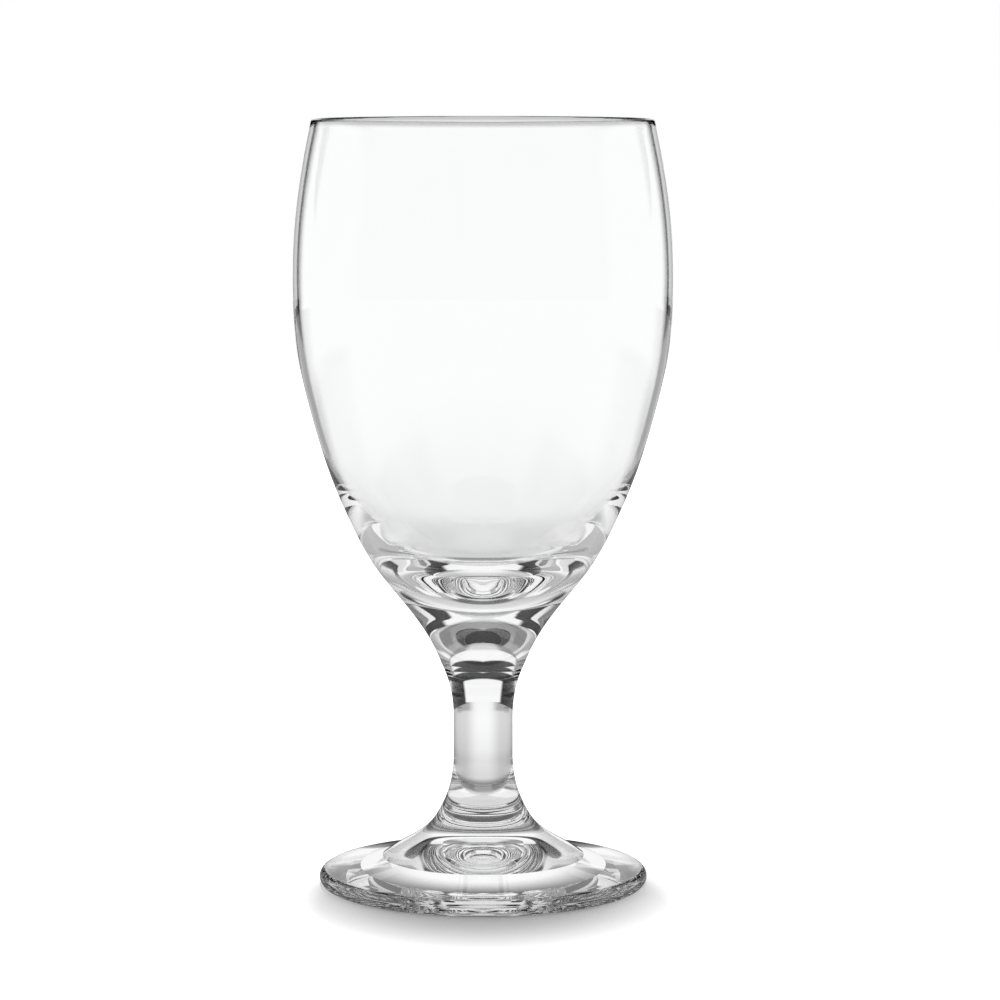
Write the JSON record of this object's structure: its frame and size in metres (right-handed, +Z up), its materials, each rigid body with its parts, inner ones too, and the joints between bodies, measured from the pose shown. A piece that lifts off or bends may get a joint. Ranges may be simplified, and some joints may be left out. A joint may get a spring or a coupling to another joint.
{
  "type": "water goblet",
  "caption": "Clear stemmed water goblet with a deep rounded bowl, a short solid stem and a round coned foot with a flat brim.",
  "frame": {"origin": "centre of the circle that the foot stands on, at table height", "axes": "+Z up along the glass's axis of revolution, from the foot to the rim; +X and +Y level, +X to the right in the picture"},
  "size_m": [0.0876, 0.0876, 0.178],
  "materials": {
    "clear_glass": "clear, fire-polished"
  },
  "bodies": {
    "root": {"bowl": "clear_glass", "stem": "clear_glass", "foot": "clear_glass"}
  },
  "joints": []
}
